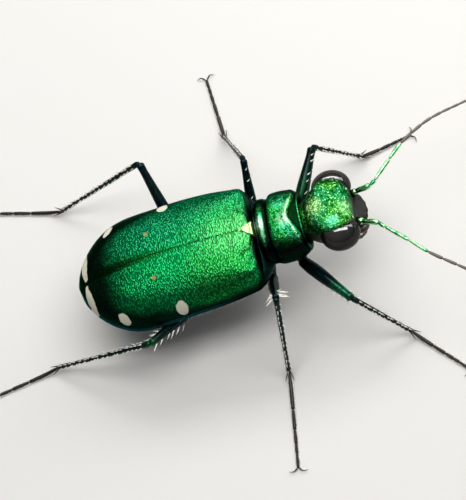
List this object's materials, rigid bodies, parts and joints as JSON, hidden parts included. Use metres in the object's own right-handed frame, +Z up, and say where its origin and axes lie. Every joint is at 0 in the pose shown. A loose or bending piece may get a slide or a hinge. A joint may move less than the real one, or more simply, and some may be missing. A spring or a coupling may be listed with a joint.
{
  "type": "tiger beetle",
  "caption": "Life-size standing tiger beetle with parted wing covers, large eyes, sickle jaws, long feelers and slender legs.",
  "frame": {"origin": "on the floor, under the middle of the whole animal's box", "axes": "+X ahead of the animal, +Y to its left, +Z up"},
  "size_m": [0.0232, 0.0188, 0.0049],
  "materials": {
    "wing_cover_green": "finely grained metallic green, with ivory spots near the margins",
    "scutellum_green": "pale metallic green",
    "foreparts_green": "wrinkled bright metallic green",
    "eye_brown": "glossy dark brown, finely facetted",
    "lip_dark": "satin dark brown",
    "jaw_brown": "glossy dark brown",
    "feeler_green": "metallic green base joints, dull brown outer joints",
    "underside_green": "dark metallic blue green",
    "leg_dark": "dark metallic green with pale bristles"
  },
  "bodies": {
    "root": {"elytron_left": "wing_cover_green", "elytron_right": "wing_cover_green", "scutellum": "scutellum_green", "pronotum": "foreparts_green", "head": "foreparts_green", "eye_left": "eye_brown", "eye_right": "eye_brown", "labrum": "lip_dark", "mandible_left": "jaw_brown", "mandible_right": "jaw_brown", "antenna_left": "feeler_green", "antenna_right": "feeler_green", "thorax": "underside_green", "abdomen": "underside_green", "leg_front_left": "leg_dark", "leg_front_right": "leg_dark", "leg_middle_left": "leg_dark", "leg_middle_right": "leg_dark", "leg_hind_left": "leg_dark", "leg_hind_right": "leg_dark"}
  },
  "joints": []
}
